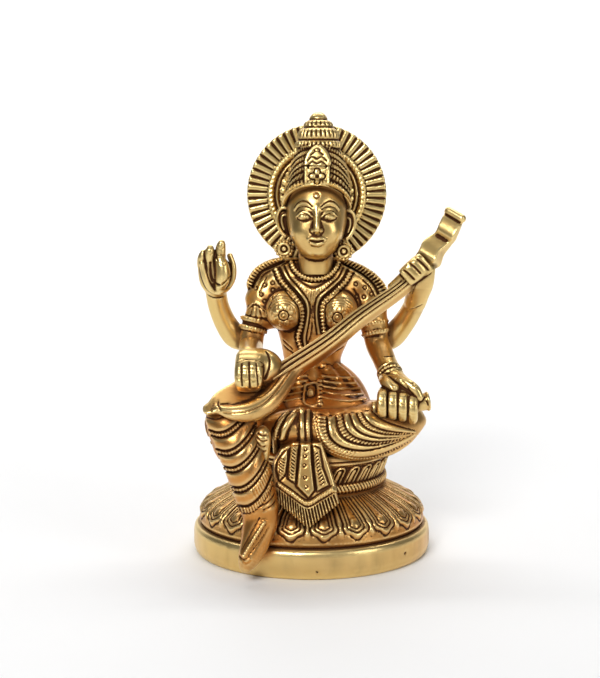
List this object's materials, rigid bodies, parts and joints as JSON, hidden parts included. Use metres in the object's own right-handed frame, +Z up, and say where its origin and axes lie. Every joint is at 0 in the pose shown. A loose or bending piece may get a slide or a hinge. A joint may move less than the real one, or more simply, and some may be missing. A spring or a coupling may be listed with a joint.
{
  "type": "saraswati figure",
  "caption": "Cast brass seated goddess playing a veena on a domed lotus plinth, with a rayed halo behind her crown; a small shrine or shelf figure.",
  "frame": {"origin": "middle of the flat underside of the plinth", "axes": "+Z up towards the crown, -Y towards the front that the face looks to, +X to the viewer's right"},
  "size_m": [0.1177, 0.1013, 0.19],
  "materials": {
    "brass": "polished cast brass with dark patina in the crevices"
  },
  "bodies": {
    "root": {"saraswati_figure": "brass"}
  },
  "joints": []
}
